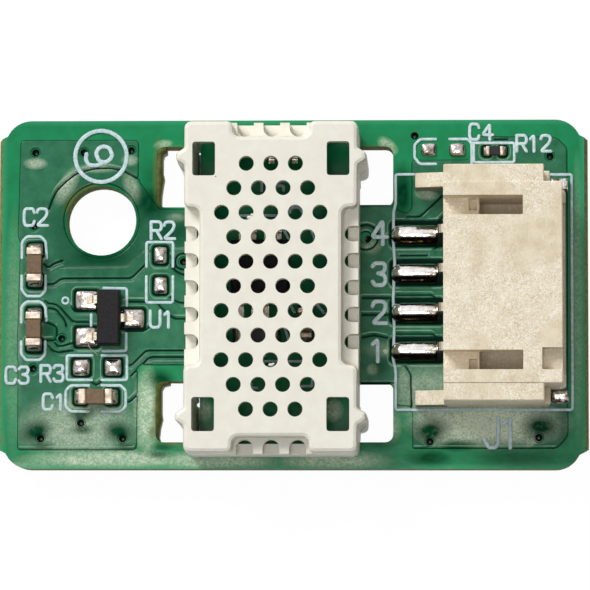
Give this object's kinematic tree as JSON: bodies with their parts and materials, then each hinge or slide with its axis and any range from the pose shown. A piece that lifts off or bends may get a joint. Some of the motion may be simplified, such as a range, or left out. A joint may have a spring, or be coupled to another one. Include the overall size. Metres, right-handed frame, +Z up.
{
  "type": "humidity sensor module",
  "caption": "Rectangular circuit board carrying a vented snap-fit cap over a humidity sensor, a side-entry wire connector and small surface-mount parts.",
  "frame": {"origin": "on the ground under the middle of the board, level with the tips of the cap's snap hooks", "axes": "+X along the board, out of the connector's mouth; +Y across the board; +Z up through the cap"},
  "size_m": [0.0304, 0.018, 0.0081],
  "materials": {
    "solder_mask": "semi-gloss green solder mask on glass-fibre laminate",
    "cap_plastic": "fine matt moulding, warm off-white",
    "housing_plastic": "faintly mottled glass-filled moulding, beige",
    "tinned_contact": "bright tin plating",
    "solder": "bright reflowed solder",
    "brown_ceramic": "smooth fired ceramic",
    "resistor_glaze": "glossy black glaze",
    "black_epoxy": "matt black moulding compound",
    "alumina": "fired white ceramic",
    "sensing_film": "printed film"
  },
  "bodies": {
    "root": {"circuit_board": "solder_mask", "vent_cap": "cap_plastic", "connector_housing": "housing_plastic", "connector_pin_1": "tinned_contact", "connector_pin_2": "tinned_contact", "connector_pin_3": "tinned_contact", "connector_pin_4": "tinned_contact", "pin_solder_1": "solder", "pin_solder_2": "solder", "pin_solder_3": "solder", "pin_solder_4": "solder", "hold_down_tab_left": "tinned_contact", "hold_down_tab_right": "tinned_contact", "capacitor_1_body": "brown_ceramic", "capacitor_1_end_a": "solder", "capacitor_1_end_b": "solder", "capacitor_2_body": "brown_ceramic", "capacitor_2_end_a": "solder", "capacitor_2_end_b": "solder", "capacitor_3_body": "brown_ceramic", "capacitor_3_end_a": "solder", "capacitor_3_end_b": "solder", "capacitor_4_body": "brown_ceramic", "capacitor_4_end_a": "solder", "capacitor_4_end_b": "solder", "resistor_1_body": "resistor_glaze", "resistor_1_end_a": "solder", "resistor_1_end_b": "solder", "resistor_2_body": "resistor_glaze", "resistor_2_end_a": "solder", "resistor_2_end_b": "solder", "transistor_body": "black_epoxy", "transistor_lead_a": "tinned_contact", "transistor_lead_b": "tinned_contact", "transistor_lead_c": "tinned_contact", "transistor_pad_a": "solder", "transistor_pad_b": "solder", "transistor_pad_c": "solder", "signal_chip_body": "black_epoxy", "signal_chip_lead_1": "tinned_contact", "signal_chip_lead_2": "tinned_contact", "signal_chip_lead_3": "tinned_contact", "signal_chip_lead_4": "tinned_contact", "signal_chip_lead_5": "tinned_contact", "signal_chip_lead_6": "tinned_contact", "signal_chip_lead_7": "tinned_contact", "signal_chip_lead_8": "tinned_contact", "humidity_plate": "alumina", "humidity_film": "sensing_film", "humidity_lead_a": "tinned_contact", "humidity_lead_b": "tinned_contact", "solder_bump_1": "solder", "solder_bump_2": "solder", "solder_bump_3": "solder", "solder_bump_4": "solder", "solder_bump_5": "solder", "solder_bump_6": "solder"}
  },
  "joints": []
}
